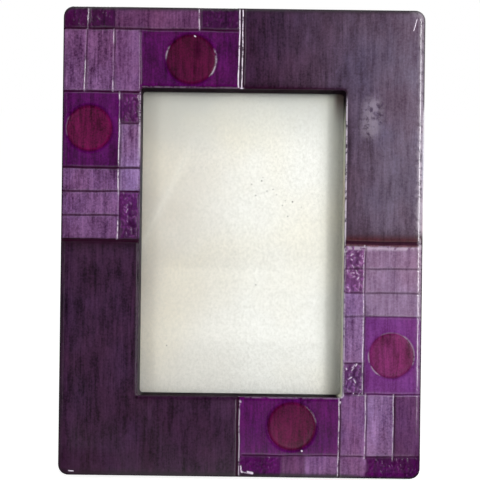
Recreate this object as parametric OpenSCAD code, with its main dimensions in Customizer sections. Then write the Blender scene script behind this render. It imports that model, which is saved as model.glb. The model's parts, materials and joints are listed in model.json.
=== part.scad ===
// Ceramic picture frame on an easel leg.
//
// Every piece is drawn upright in the picture's own frame: X to the right, Y from the face towards
// the back with Y = 0 on the back plane, and Z up from the bottom edge. stood() then leans the whole
// frame back until its rear bottom edge and the foot of the open leg rest on the table at Z = 0.
// The origin is the middle of that footprint.

/* [Frame] */
// Width of the ceramic frame
body_w = 170; // [140:1:240]
// Height of the ceramic frame
body_h = 220; // [200:1:300]
// Radius of the four outer corners
corner_r = 5; // [3:0.5:8]
// Rounding of the front outer edge
edge_r = 2.5; // [1:0.25:2.75]
// Depth of the window from the face to the glass
reveal_d = 9; // [7:0.5:14]
// Radius of the window's corners
window_r = 1.5; // [0.5:0.5:4]

/* [Ceramic walls] */
// Thickness of the face
face_t = 5; // [4:0.5:6]
// Thickness of the outer skirt
skirt_t = 5; // [4:0.5:7]
// Thickness of the rim round the glass pocket
rim_t = 5; // [4:0.5:7]
// Width of the ledge in the skirt that the back ring sits on
ledge_w = 2.5; // [1.5:0.25:3]

/* [Relief] */
// Height of the row of blocks along the top and bottom edges
edge_row = 9.5; // [6:0.5:14]
// Width of the blocks beside the window
narrow_w = 9.5; // [6:0.5:12]
// Height of the squares that hold the side discs
square_h = 36; // [26:1:44]
// Width of the block at the middle of the top row
end_block_w = 20; // [12:1:30]
// Height of the upper block beside the window
corner_block_h = 16; // [8:1:20]
// Distance of the relief's end from the frame's half height
seam_z = 0.5; // [0:0.5:6]
// Least distance of the disc above the window from the grooves round it
top_disc_margin = 2.75; // [1.5:0.25:5]
// Least distance of the disc beside the window from the grooves round it
side_disc_margin = 3.15; // [1.5:0.05:5]
// Width of the grooves between blocks
groove_w = 0.7; // [0.4:0.1:1.2]
// Width of the grooves round the whole relief
border_w = 1.2; // [0.6:0.1:2]
// Depth of the grooves
groove_d = 0.5; // [0.2:0.1:1]

/* [Picture and glass] */
// Width of the sheet in the window
sheet_w = 101.6; // [90:0.1:120]
// Height of the sheet in the window
sheet_h = 152.4; // [130:0.1:180]
// Thickness of the sheet
sheet_t = 0.3; // [0.2:0.05:0.6]
// How far the window's sides lap over the sheet
side_lap = 2.8; // [2:0.1:5]
// How far the window's top and bottom lap over the sheet
end_lap = 4.2; // [2:0.1:6]
// How far the glass stands out past the sheet
glass_margin = 0.75; // [0.5:0.05:1.5]
// Thickness of the glass
glass_t = 2; // [1.5:0.5:3]
// Thickness of the card behind the sheet
card_t = 1.5; // [1:0.5:3]
// Clearance round the glass in its pocket
pocket_gap = 0.5; // [0.3:0.1:1]
// Slack behind the card
stack_gap = 0.2; // [0.1:0.05:0.5]

/* [Back] */
// Thickness of the back board and of the ring round it
board_t = 3; // [2.5:0.5:4]
// How far the back board laps onto the rim
board_lap = 2.5; // [2:0.5:3]
// Clearance round the back board
board_gap = 0.5; // [0.3:0.1:1]
// Clearance round the ring, filled with adhesive on the real frame
ring_gap = 0.4; // [0.2:0.1:0.6]

/* [Turn buttons] */
// Reach of a turn button from its screw to the middle of its round tip
button_reach = 12; // [9:0.5:14]
// Radius of a turn button round its screw
button_hub_r = 4.5; // [4:0.5:5]
// Radius of a turn button's tip
button_tip_r = 3; // [2:0.5:4]
// Thickness of a turn button
button_t = 0.8; // [0.6:0.1:1.2]
// Distance of a turn button's screw from the edge of the ring's opening
button_inset = 5.5; // [5:0.5:7]
// Height of the turn buttons above and below the window's middle
button_z = 50; // [35:1:60]
// Radius of a turn button's screw
screw_r = 1.1; // [0.9:0.1:1.5]
// Radius of the screw's head
screw_head_r = 3; // [2.5:0.25:3.5]
// Height of the screw's head
screw_head_h = 1.4; // [1:0.1:2]

/* [Easel leg] */
// Angle by which the frame leans back from upright
lean_angle = 13; // [10:1:18]
// Angle between the back and the open leg
leg_open = 24; // [20:1:30]
// Distance of the hinge's axis from the top of the back board
hinge_drop = 32; // [26:1:60]
// Thickness of the leg
leg_t = 3; // [2.5:0.5:4]
// Width of the leg at the hinge
leg_top_w = 34; // [30:1:50]
// Width of the leg at its foot
leg_foot_w = 56; // [40:1:80]

/* [Hinge] */
// Width of the hinge
hinge_w = 30; // [24:1:40]
// Height of each hinge leaf
leaf_h = 15; // [12:1:18]
// Thickness of the hinge leaves
leaf_t = 0.6; // [0.5:0.1:0.8]
// Outer radius of the hinge's knuckles
knuckle_r = 1.5; // [1.4:0.1:2]
// Width of the leg leaf's knuckle
knuckle_w = 10; // [8:1:12]
// Radius of the hinge pin
pin_r = 0.75; // [0.6:0.05:0.9]
// Distance between the two rivets of a leaf
rivet_pitch = 18; // [14:1:22]

/* [Stay ribbon] */
// Height of the ribbon's folds above the back board's lower edge
fold_rise = 25.9; // [16:0.1:45]
// Width of the ribbon
ribbon_w = 10; // [6:1:14]
// Thickness of the ribbon
ribbon_t = 0.4; // [0.3:0.1:0.6]
// Length of the ribbon's riveted ends
tab_len = 9; // [7:0.5:12]

/* [Wall hangers] */
// Length of a saw-tooth hanger
hanger_w = 44; // [36:1:50]
// Height of a saw-tooth hanger
hanger_h = 9; // [8:0.5:9]
// Thickness of a hanger
hanger_t = 0.8; // [0.6:0.1:1]
// How far a hanger's middle stands off the ring
hanger_rise = 2; // [1.5:0.1:3]
// Length of a hanger's two flat ends
hanger_ear = 7; // [6:0.5:9]
// Number of teeth along a hanger
tooth_count = 9; // [5:2:11]

/* [Hidden] */
$fn = 64;

// How far cutting tools run past the surface that they cut
past = 1;
// Clearance of a pin or rivet in its hole
pin_gap = 0.05;
// Running clearance between flat pieces that slide on each other
slide_gap = 0.1;

// Window, glass and pocket, from the sheet outwards
window_w = sheet_w - 2 * side_lap;
window_h = sheet_h - 2 * end_lap;
glass_w = sheet_w + 2 * glass_margin;
glass_h = sheet_h + 2 * glass_margin;
pocket_w = glass_w + 2 * pocket_gap;
pocket_h = glass_h + 2 * pocket_gap;
pocket_r = 3 * pocket_gap;
rim_w = pocket_w + 2 * rim_t;
rim_h = pocket_h + 2 * rim_t;
rim_r = 3;

// Depths, measured from the back plane
rim_y = -board_t;
card_y = rim_y - stack_gap;
sheet_y = card_y - card_t;
glass_y = sheet_y - sheet_t;
seat_y = glass_y - glass_t;
face_y = seat_y - reveal_d;
body_d = -face_y;
mid_z = body_h / 2;

// Back board and ring
board_w = pocket_w + 2 * board_lap;
board_h = pocket_h + 2 * board_lap;
hole_w = board_w + 2 * board_gap;
hole_h = board_h + 2 * board_gap;
recess_w = body_w - 2 * (skirt_t - ledge_w);
recess_h = body_h - 2 * (skirt_t - ledge_w);
ring_w = recess_w - 2 * ring_gap;
ring_h = recess_h - 2 * ring_gap;
recess_r = 3;
board_r = 2;

// Turn buttons, and the board left in front of a screw's tip
button_x = hole_w / 2 + button_inset;
screw_skin = 0.4;
screw_len = board_t - screw_skin;

// Hangers, each in the middle of its band of the ring
portrait_z = (hole_h + ring_h) / 4;
landscape_x = (hole_w + ring_w) / 4;
tooth_w = 3;
tooth_h = 1.3;

// Hanger nails, and the board left in front of a nail's tip
nail_r = 0.6;
nail_head_r = 1.7;
nail_head_h = 0.6;
nail_skin = 0.6;
nail_len = board_t - nail_skin;
nail_x = (hanger_w - hanger_ear) / 2;

// Rivets. Their tails sit below the board's front by tail_gap.
rivet_r = 1.25;
rivet_head_r = 2.3;
rivet_head_h = 0.5;
tail_h = 0.6;
tail_gap = 0.2;
sink_h = tail_h + tail_gap;

// Hinge and leg. The leg is drawn folded flat and opened by on_leg(). Folded, its rivets stay
// clear of the board by fold_gap.
hinge_z = mid_z + board_h / 2 - hinge_drop;
pin_y = leaf_t + knuckle_r;
notch_gap = 0.4;
fold_gap = 0.2;
leaf_y = rivet_head_h + fold_gap;
leg_y = leaf_y + leaf_t;
leg_back_y = leg_y + leg_t;
leg_top_gap = 1;
leg_top_z = hinge_z - knuckle_r - leg_top_gap;
rivet_edge = 5.7;
rivet_z = leaf_h - rivet_edge;
foot_angle = leg_open - lean_angle;

// Depth below the hinge's axis at which the leg, at this distance behind the axis, meets the table
function foot_drop(behind) =
    (hinge_z * cos(lean_angle) - pin_y * sin(lean_angle) + behind * sin(foot_angle)) / cos(foot_angle);

// Where the frame's front and back come down on the table, before the origin is set
front_reach = (edge_r - body_d) * cos(lean_angle) + edge_r * sin(lean_angle) - edge_r;
leg_behind = leg_back_y - pin_y;
foot_reach = pin_y * cos(lean_angle) + hinge_z * sin(lean_angle) + leg_behind * cos(foot_angle)
    + foot_drop(leg_behind) * sin(foot_angle);
back_reach = max(foot_reach, body_h * sin(lean_angle));
stand_shift = -(front_reach + back_reach) / 2;

// Ribbon, as the middle line of its side view: up the board, across to the leg, up the leg
fold_z = mid_z - board_h / 2 + fold_rise;
leg_fold = opened([leg_y - ribbon_t / 2 - slide_gap, fold_z]);
ribbon_line = [
    [ribbon_t / 2, fold_z - tab_len],
    [ribbon_t / 2, fold_z],
    leg_fold,
    opened([leg_y - ribbon_t / 2 - slide_gap, fold_z + tab_len])
];

// A side-view point of the folded leg, turned with the leg to its open place
function opened(p) =
    let (y = p[0] - pin_y, z = p[1] - hinge_z)
    [
        pin_y + y * cos(leg_open) - z * sin(leg_open),
        hinge_z + y * sin(leg_open) + z * cos(leg_open)
    ];

function unit(v) = v / norm(v);
function side(v) = [-v[1], v[0]];

// Offset at point i of a line that gives a strip of even thickness on both sides of it
function mitre(line, i) =
    let (
        before = side(unit(line[max(i, 1)] - line[max(i, 1) - 1])),
        last = len(line) - 1,
        after = side(unit(line[min(i, last - 1) + 1] - line[min(i, last - 1)])),
        middle = unit(before + after)
    )
    middle / (middle * before);

// Leans the whole frame back onto its leg
module stood() {
    translate([0, stand_shift, 0])
        rotate([-lean_angle, 0, 0])
            children();
}

// Opens a piece of the leg, drawn folded, about the hinge's axis
module on_leg() {
    translate([0, pin_y, hinge_z])
        rotate([leg_open, 0, 0])
            translate([0, -pin_y, -hinge_z])
                children();
}

// A front-view outline as a plate from one depth to another
module plate(front, back) {
    translate([0, back, 0])
        rotate([90, 0, 0])
            linear_extrude(back - front)
                children();
}

// A side-view outline as a strip across the frame's middle
module strip(width) {
    rotate([90, 0, 90])
        linear_extrude(width, center = true)
            children();
}

// A round bar from front to back
module bar(r, front, back) {
    translate([0, back, 0])
        rotate([90, 0, 0])
            cylinder(r = r, h = back - front);
}

// A round head that stands out towards the back from the depth at
module head(r, h, at) {
    ball_r = (r * r + h * h) / (2 * h);
    translate([0, at, 0])
        rotate([-90, 0, 0])
            intersection() {
                translate([0, 0, h - ball_r])
                    sphere(ball_r);
                cylinder(r = r, h = h);
            }
}

module rounded(w, h, r) {
    square([w - 2 * r, h], center = true);
    square([w, h - 2 * r], center = true);
    for (x = [-1, 1], y = [-1, 1])
        translate([x * (w / 2 - r), y * (h / 2 - r)])
            circle(r);
}

// Quarter round of the front edge, with its corner r from the axis
module edge_profile(r) {
    translate([r, 0])
        intersection() {
            circle(edge_r);
            square(edge_r);
        }
}

// Solid block with rounded corners and a rounded front edge, about the frame's middle
module block() {
    flat_y = face_y + edge_r;
    turn_r = corner_r - edge_r;
    plate(flat_y, 0)
        rounded(body_w, body_h, corner_r);
    plate(face_y, flat_y)
        rounded(body_w - 2 * edge_r, body_h - 2 * edge_r, turn_r);
    translate([0, flat_y, 0])
        rotate([90, 0, 0]) {
            for (sx = [0, 1], sy = [0, 1])
                mirror([sx, 0, 0])
                    mirror([0, sy, 0])
                        translate([body_w / 2 - corner_r, body_h / 2 - corner_r, 0])
                            rotate_extrude(angle = 90)
                                edge_profile(turn_r);
            for (s = [0, 1]) {
                mirror([s, 0, 0])
                    translate([body_w / 2 - corner_r, body_h / 2 - corner_r, 0])
                        rotate([90, 0, 0])
                            linear_extrude(body_h - 2 * corner_r)
                                edge_profile(turn_r);
                mirror([0, s, 0])
                    translate([-body_w / 2 + corner_r, body_h / 2 - corner_r, 0])
                        rotate([90, 0, 90])
                            linear_extrude(body_w - 2 * corner_r)
                                edge_profile(turn_r);
            }
        }
}

// Groove between two points of the front view, along X or Z
module groove(a, b, w) {
    translate([min(a[0], b[0]) - w / 2, min(a[1], b[1]) - w / 2])
        square([abs(a[0] - b[0]) + w, abs(a[1] - b[1]) + w]);
}

module ring_groove(at, r) {
    translate(at)
        difference() {
            circle(r);
            circle(r - groove_w);
        }
}

// Grooves of the upper left relief. Turned by half a turn it is the lower right relief too.
module relief_grooves() {
    out_x = -body_w / 2;
    out_z = body_h / 2;
    win_x = -window_w / 2;
    win_z = window_h / 2;
    column_w = (win_x - out_x) / 3;
    row_z = out_z - edge_row;
    square_z = win_z - square_h;
    strip_h = (square_z - seam_z) / 3;
    narrow_x = win_x - narrow_w;
    top_disc_r = min(row_z - win_z, -win_x) / 2 - top_disc_margin;
    side_disc_r = min(narrow_x - out_x, square_h) / 2 - side_disc_margin;
    groove([out_x - past, row_z], [0, row_z], groove_w);
    groove([out_x - past, win_z], [win_x, win_z], groove_w);
    groove([out_x - past, square_z], [win_x, square_z], groove_w);
    groove([out_x - past, square_z - strip_h], [win_x, square_z - strip_h], groove_w);
    groove([out_x - past, seam_z + strip_h], [narrow_x, seam_z + strip_h], groove_w);
    groove([out_x - past, seam_z], [win_x, seam_z], border_w);
    groove([narrow_x, win_z - corner_block_h], [win_x, win_z - corner_block_h], groove_w);
    groove([0, win_z], [0, out_z + past], border_w);
    groove([win_x, win_z], [win_x, row_z], groove_w);
    groove([-end_block_w, row_z], [-end_block_w, out_z + past], groove_w);
    groove([narrow_x, seam_z], [narrow_x, win_z], groove_w);
    for (i = [1, 2])
        groove([out_x + i * column_w, win_z], [out_x + i * column_w, out_z + past], groove_w);
    ring_groove([win_x / 2, (win_z + row_z) / 2], top_disc_r);
    ring_groove([(out_x + narrow_x) / 2, (square_z + win_z) / 2], side_disc_r);
}

module ceramic_body() {
    color([0.36, 0.17, 0.38])
        stood()
            translate([0, 0, mid_z])
                difference() {
                    block();
                    plate(face_y - past, past)
                        rounded(window_w, window_h, window_r);
                    plate(seat_y, past)
                        rounded(pocket_w, pocket_h, pocket_r);
                    plate(face_y + face_t, past)
                        difference() {
                            rounded(body_w - 2 * skirt_t, body_h - 2 * skirt_t, rim_r);
                            rounded(rim_w, rim_h, rim_r);
                        }
                    plate(rim_y, past)
                        rounded(recess_w, recess_h, recess_r);
                    for (turn = [0, 180])
                        rotate([0, turn, 0])
                            plate(face_y - past, face_y + groove_d)
                                relief_grooves();
                }
}

// A flat rectangular layer behind the window
module layer(w, h, front, t, r) {
    stood()
        translate([0, 0, mid_z])
            plate(front, front + t)
                rounded(w, h, r);
}

module glass_pane() {
    color([0.80, 0.90, 0.88, 0.35])
        layer(glass_w, glass_h, seat_y, glass_t, glass_margin);
}

module insert_sheet() {
    color([0.90, 0.90, 0.87])
        layer(sheet_w, sheet_h, glass_y, sheet_t, glass_margin);
}

module filler_card() {
    color([0.72, 0.65, 0.52])
        layer(glass_w, glass_h, sheet_y, card_t, glass_margin);
}

// The two hangers' places: upright for a nail above the picture, and on its side
module at_hangers() {
    translate([0, 0, portrait_z])
        children();
    translate([landscape_x, 0, 0])
        rotate([0, 90, 0])
            children();
}

module at_nails() {
    at_hangers()
        for (s = [-1, 1])
            translate([s * nail_x, 0, 0])
                children();
}

module at_buttons() {
    for (sx = [-1, 1], sz = [-1, 1])
        translate([sx * button_x, 0, sz * button_z])
            children();
}

module back_ring() {
    color([0.45, 0.33, 0.22])
        stood()
            translate([0, 0, mid_z])
                difference() {
                    plate(rim_y, 0)
                        difference() {
                            rounded(ring_w, ring_h, recess_r);
                            rounded(hole_w, hole_h, board_r);
                        }
                    at_buttons()
                        bar(screw_r + pin_gap, -screw_len, past);
                    at_nails()
                        bar(nail_r + pin_gap, -nail_len, past);
                }
}

// Rivet places on a leaf, measured from the hinge's axis in the direction of the sign
module at_leaf_rivets(sign) {
    for (s = [-1, 1])
        translate([s * rivet_pitch / 2, 0, hinge_z + sign * rivet_z])
            children();
}

module at_ribbon_rivet(sign) {
    translate([0, 0, fold_z + sign * tab_len / 2])
        children();
}

// Hole with a sunk mouth on the picture side
module sunk_hole() {
    bar(rivet_r + pin_gap, rim_y - past, past);
    bar(rivet_head_r + pin_gap, rim_y - past, rim_y + sink_h);
}

module back_board() {
    color([0.13, 0.12, 0.13])
        stood()
            difference() {
                translate([0, 0, mid_z])
                    plate(rim_y, 0)
                        rounded(board_w, board_h, board_r);
                at_leaf_rivets(1)
                    sunk_hole();
                at_ribbon_rivet(-1)
                    sunk_hole();
            }
}

module easel_leg() {
    tip_z = hinge_z - foot_drop(leg_behind);
    low_z = min(tip_z, hinge_z - foot_drop(leg_y - pin_y));
    color([0.13, 0.12, 0.13])
        stood()
            on_leg()
                difference() {
                    intersection() {
                        plate(leg_y, leg_back_y)
                            polygon([
                                [-leg_foot_w / 2, low_z],
                                [leg_foot_w / 2, low_z],
                                [leg_top_w / 2, leg_top_z],
                                [-leg_top_w / 2, leg_top_z]
                            ]);
                        strip(leg_foot_w + past)
                            polygon([
                                [leg_y, leg_top_z],
                                [leg_y, hinge_z - foot_drop(leg_y - pin_y)],
                                [leg_back_y, tip_z],
                                [leg_back_y, leg_top_z]
                            ]);
                    }
                    at_leaf_rivets(-1)
                        bar(rivet_r + pin_gap, 0, leg_back_y + past);
                    at_ribbon_rivet(1)
                        bar(rivet_r + pin_gap, 0, leg_back_y + past);
                }
}

// Bar along the hinge's axis between two places across the frame
module across(r, from, to) {
    translate([from, pin_y, hinge_z])
        rotate([0, 90, 0])
            cylinder(r = r, h = to - from);
}

module hinge_board_leaf() {
    inner_x = knuckle_w / 2 + 2 * slide_gap;
    curl_y = pin_y - notch_gap;
    notch_h = knuckle_r + notch_gap;
    color([0.75, 0.62, 0.32])
        stood()
            difference() {
                union() {
                    translate([-hinge_w / 2, 0, hinge_z])
                        cube([hinge_w, leaf_t, leaf_h]);
                    for (s = [0, 1])
                        mirror([s, 0, 0]) {
                            across(knuckle_r, inner_x, hinge_w / 2);
                            translate([inner_x, 0, hinge_z])
                                cube([hinge_w / 2 - inner_x, curl_y, knuckle_r - notch_gap]);
                        }
                }
                translate([-inner_x, -past, hinge_z - notch_h])
                    cube([2 * inner_x, knuckle_r + pin_y + 2 * past, 2 * notch_h]);
                across(pin_r + pin_gap, -hinge_w, hinge_w);
                at_leaf_rivets(1)
                    bar(rivet_r + pin_gap, -past, leaf_t + past);
            }
}

module hinge_leg_leaf() {
    wing_z = hinge_z - knuckle_r - notch_gap;
    color([0.75, 0.62, 0.32])
        stood()
            on_leg()
                difference() {
                    union() {
                        translate([-hinge_w / 2, leaf_y, hinge_z - leaf_h])
                            cube([hinge_w, leaf_t, wing_z - hinge_z + leaf_h]);
                        translate([-knuckle_w / 2, leaf_y, wing_z - past])
                            cube([knuckle_w, leaf_t, hinge_z - wing_z + past]);
                        across(knuckle_r, -knuckle_w / 2, knuckle_w / 2);
                    }
                    across(pin_r + pin_gap, -hinge_w, hinge_w);
                    at_leaf_rivets(-1)
                        bar(rivet_r + pin_gap, 0, leg_y + past);
                }
}

module hinge_pin() {
    pin_head_step = 0.3;
    pin_head_r = knuckle_r - pin_head_step;
    pin_head_h = 0.5;
    color([0.66, 0.64, 0.60])
        stood() {
            across(pin_r, -hinge_w / 2, hinge_w / 2);
            for (s = [0, 1])
                mirror([s, 0, 0])
                    across(pin_head_r, hinge_w / 2, hinge_w / 2 + pin_head_h);
        }
}

// Rivet from a flat tail at one depth to a round head that stands on another
module board_rivet(under_head) {
    bar(rivet_head_r, rim_y + sink_h - tail_h, rim_y + sink_h);
    bar(rivet_r, rim_y + sink_h - tail_h, under_head);
    head(rivet_head_r, rivet_head_h, under_head);
}

// Rivet through the leg, with its flat head at the front and a round tail behind the leg
module leg_rivet(under_head) {
    bar(rivet_head_r, under_head - rivet_head_h, under_head);
    bar(rivet_r, under_head - rivet_head_h, leg_back_y);
    head(rivet_head_r, tail_h, leg_back_y);
}

module board_leaf_rivets() {
    color([0.78, 0.66, 0.38])
        stood()
            at_leaf_rivets(1)
                board_rivet(leaf_t);
}

module leg_leaf_rivets() {
    color([0.78, 0.66, 0.38])
        stood()
            on_leg()
                at_leaf_rivets(-1)
                    leg_rivet(leaf_y);
}

module ribbon_board_rivet() {
    color([0.78, 0.66, 0.38])
        stood()
            at_ribbon_rivet(-1)
                board_rivet(ribbon_t);
}

module ribbon_leg_rivet() {
    color([0.78, 0.66, 0.38])
        stood()
            on_leg()
                at_ribbon_rivet(1)
                    leg_rivet(leg_y - ribbon_t - 2 * slide_gap);
}

module stay_ribbon() {
    half_t = ribbon_t / 2;
    last = len(ribbon_line) - 1;
    near_side = [for (i = [0 : last]) ribbon_line[i] + half_t * mitre(ribbon_line, i)];
    far_side = [for (i = [last : -1 : 0]) ribbon_line[i] - half_t * mitre(ribbon_line, i)];
    hole_r = rivet_r + 2 * slide_gap;
    color([0.10, 0.09, 0.11])
        stood()
            difference() {
                strip(ribbon_w)
                    polygon(concat(near_side, far_side));
                at_ribbon_rivet(-1)
                    bar(hole_r, -past, ribbon_t + past);
                on_leg()
                    at_ribbon_rivet(1)
                        bar(hole_r, leg_y - ribbon_t - past, leg_y + past);
            }
}

// Turn button whose tongue points to the left, on the pivot at the origin. Its straight sides touch
// the hub and the tip at the angle taper from the tongue's middle line.
module turn_button() {
    taper = acos((button_hub_r - button_tip_r) / button_reach);
    touch = [-cos(taper), sin(taper)];
    tip = [-button_reach, 0];
    difference() {
        plate(slide_gap, slide_gap + button_t) {
            circle(button_hub_r);
            translate(tip)
                circle(button_tip_r);
            polygon([
                button_hub_r * touch,
                tip + button_tip_r * touch,
                tip + button_tip_r * [touch[0], -touch[1]],
                button_hub_r * [touch[0], -touch[1]]
            ]);
        }
        bar(screw_r + pin_gap, -past, button_t + past);
    }
}

// A turn button on the left (-1) or right (1), in the lower (-1) or upper (1) pair
module placed_button(side_x, side_z) {
    color([0.70, 0.71, 0.72])
        stood()
            translate([side_x * button_x, 0, mid_z + side_z * button_z])
                rotate([0, side_x < 0 ? 180 : 0, 0])
                    turn_button();
}

module turn_button_upper_left() {
    placed_button(-1, 1);
}

module turn_button_upper_right() {
    placed_button(1, 1);
}

module turn_button_lower_left() {
    placed_button(-1, -1);
}

module turn_button_lower_right() {
    placed_button(1, -1);
}

module turn_button_screws() {
    under_head = button_t + 2 * slide_gap;
    top_y = under_head + screw_head_h;
    cross_w = 0.5;
    cross_d = 0.7;
    color([0.72, 0.72, 0.70])
        stood()
            translate([0, 0, mid_z])
                at_buttons()
                    difference() {
                        union() {
                            bar(screw_r, -screw_len, under_head);
                            head(screw_head_r, screw_head_h, under_head);
                        }
                        for (turn = [45, 135])
                            rotate([0, turn, 0])
                                plate(top_y - cross_d, top_y + past)
                                    square([screw_head_r, cross_w], center = true);
                    }
}

// Saw-tooth hanger, lying on the ring with its teeth towards the window
module hanger() {
    ramp = hanger_rise;
    flat_x = hanger_w / 2 - hanger_ear;
    difference() {
        translate([0, 0, -hanger_h / 2])
            linear_extrude(hanger_h)
                polygon([
                    [-hanger_w / 2, 0],
                    [-flat_x, 0],
                    [-flat_x + ramp, hanger_rise],
                    [flat_x - ramp, hanger_rise],
                    [flat_x, 0],
                    [hanger_w / 2, 0],
                    [hanger_w / 2, hanger_t],
                    [flat_x + hanger_t / 2, hanger_t],
                    [flat_x - ramp + hanger_t / 2, hanger_rise + hanger_t],
                    [-flat_x + ramp - hanger_t / 2, hanger_rise + hanger_t],
                    [-flat_x - hanger_t / 2, hanger_t],
                    [-hanger_w / 2, hanger_t]
                ]);
        for (i = [0 : tooth_count - 1])
            translate([(i - tooth_count / 2) * tooth_w, 0, -hanger_h / 2])
                plate(-past, hanger_rise + hanger_t + past)
                    polygon([[0, -past], [0, 0], [tooth_w / 2, tooth_h], [tooth_w, 0], [tooth_w, -past]]);
        for (s = [-1, 1])
            translate([s * nail_x, 0, 0])
                bar(nail_r + pin_gap, -past, hanger_t + past);
    }
}

module portrait_hanger() {
    color([0.74, 0.63, 0.35])
        stood()
            translate([0, 0, mid_z + portrait_z])
                hanger();
}

module landscape_hanger() {
    color([0.74, 0.63, 0.35])
        stood()
            translate([landscape_x, 0, mid_z])
                rotate([0, 90, 0])
                    hanger();
}

module hanger_nails() {
    color([0.78, 0.70, 0.45])
        stood()
            translate([0, 0, mid_z])
                at_nails() {
                    bar(nail_r, -nail_len, hanger_t);
                    head(nail_head_r, nail_head_h, hanger_t);
                }
}

ceramic_body();
glass_pane();
insert_sheet();
filler_card();
back_ring();
back_board();
easel_leg();
hinge_board_leaf();
hinge_leg_leaf();
hinge_pin();
board_leaf_rivets();
leg_leaf_rivets();
stay_ribbon();
ribbon_board_rivet();
ribbon_leg_rivet();
turn_button_upper_left();
turn_button_upper_right();
turn_button_lower_left();
turn_button_lower_right();
turn_button_screws();
portrait_hanger();
landscape_hanger();
hanger_nails();
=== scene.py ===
"""Ceramic picture frame on an easel leg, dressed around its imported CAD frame.

Unless a name says otherwise, lengths are millimetres in the picture's own upright frame: x to the
right, y from the face at -16 to the back plane at 0, z up from the bottom edge. STAND leans that frame
back on its leg. The relief is laid out on the face about its middle, as (x, z) pairs.
"""

import cmath
import json
import math
from collections import namedtuple

import bpy
import numpy as np
from mathutils import Matrix, Vector
from mathutils.geometry import convex_hull_2d, delaunay_2d_cdt
from mathutils.kdtree import KDTree


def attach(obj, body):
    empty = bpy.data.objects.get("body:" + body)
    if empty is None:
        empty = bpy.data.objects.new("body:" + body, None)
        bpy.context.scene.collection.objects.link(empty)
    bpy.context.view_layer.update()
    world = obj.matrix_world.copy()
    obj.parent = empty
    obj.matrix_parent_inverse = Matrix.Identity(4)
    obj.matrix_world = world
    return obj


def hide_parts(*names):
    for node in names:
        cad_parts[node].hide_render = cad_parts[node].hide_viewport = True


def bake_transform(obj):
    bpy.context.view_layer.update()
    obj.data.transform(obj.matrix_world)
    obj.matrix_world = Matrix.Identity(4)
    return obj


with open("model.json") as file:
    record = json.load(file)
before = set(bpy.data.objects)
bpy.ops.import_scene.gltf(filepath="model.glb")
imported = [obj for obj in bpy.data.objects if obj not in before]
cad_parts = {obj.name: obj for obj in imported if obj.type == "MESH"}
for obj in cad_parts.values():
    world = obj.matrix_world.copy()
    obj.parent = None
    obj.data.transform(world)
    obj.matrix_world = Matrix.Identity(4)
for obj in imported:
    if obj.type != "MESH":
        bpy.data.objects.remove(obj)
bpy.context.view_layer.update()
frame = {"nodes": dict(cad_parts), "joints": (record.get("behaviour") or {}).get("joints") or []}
nodes = frame["nodes"]
joints = {joint["name"]: joint for joint in frame["joints"]}

MM = 0.001

# How the frame stands: its lean is that of the turn buttons' axes, and its lowest edge is the rear one
swivel_axis = Vector(joints["upper_left_swivel"]["axis"])
LEAN = math.atan2(-swivel_axis.z, swivel_axis.y)
SHIFT = max(v.co.y for v in nodes["ceramic_body"].data.vertices if v.co.z < 0.01 * MM)
STAND = Matrix.Translation((0, SHIFT, 0)) @ Matrix.Rotation(-LEAN, 4, "X")

# The leg's frame is the picture's, turned out about the hinge by all that the leg folds back
HINGE = Vector(joints["leg_fold"]["pos_m"])
OPEN = math.radians(joints["leg_fold"]["range_deg"][1])
LEG = Matrix.Translation(HINGE) @ Matrix.Rotation(OPEN, 4, "X") @ Matrix.Translation(-HINGE) @ STAND

# Ceramic body, as in the CAD
HALF_W, HALF_H, CORNER_R = 85, 110, 5
WINDOW_W, WINDOW_H, WINDOW_R = 48, 72, 1.5
FACE_Y, SEAT_Y, RIM_Y, FACE_BACK_Y = -16, -7, -3, -11
MIDDLE_Z = HALF_H

# Its hollow back: how far in the ring's pocket and the hollow start, and the rim and seat of the glass
POCKET, SKIRT, HOLLOW_R = 2.5, 5, 3
RIM_W, RIM_H = 57.05, 82.45
SEAT_W, SEAT_H = 52.05, 77.45

# Rounding of the outer edge, seen from the front and from the side, of the window's edge and of the back
EDGE_IN, EDGE_DROP = 3.0, 2.4
LIP_IN, LIP_DROP = 1.0, 1.0
BACK_ROUND = 0.8

# Sloping shoulder beside grooves, rings and the window: its width, its drop in the middle of the face,
# how that falls off to the right, and the depth from which a groove has all of it
SHOULDER_IN, SHOULDER_DROP, SHOULDER_FALL = 0.8, 0.19, 0.001
FULL_DEPTH = 0.35

# How far from the window the painted highlight line on its edge runs
LIP_HIGHLIGHT = 0.3

# Share of the face's gloss that the sides and the back have, and of theirs that the window walls have
SIDE_GLOSS, WALL_GLOSS = 0.15, 0.2


# ---- small helpers


def colour(red, green, blue):
    """Linear colour from the 0 to 255 values of a screen."""
    linear = []
    for value in (red, green, blue):
        part = value / 255
        linear.append(part / 12.92 if part <= 0.04045 else ((part + 0.055) / 1.055) ** 2.4)
    return (*linear, 1)


def smooth(low, high, value):
    """0 below low, 1 above high and an even S between."""
    part = np.clip((value - low) / (high - low), 0, 1)
    return part * part * (3 - 2 * part)


def within(near, far, value):
    """1 below near, 0 above far and an even S between."""
    return 1 - smooth(near, far, value)


def mixed(first, second, part):
    return first * (1 - part) + second * part


def outside(points, half_w, half_h, radius):
    """Distance of (x, z) points outside a rounded rectangle, negative inside it."""
    reach = np.abs(points) - np.array([half_w - radius, half_h - radius])
    return np.linalg.norm(np.maximum(reach, 0), axis=1) + np.minimum(reach.max(axis=1), 0) - radius


def from_border(points):
    """How far points lie inside the face's outer edge."""
    return -outside(points, HALF_W, HALF_H, CORNER_R)


def from_window(points):
    """How far points lie outside the window."""
    return outside(points, WINDOW_W, WINDOW_H, WINDOW_R)


def placed(name, data):
    """A new object in the scene."""
    made = bpy.data.objects.new(name, data)
    bpy.context.scene.collection.objects.link(made)
    return made


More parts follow.
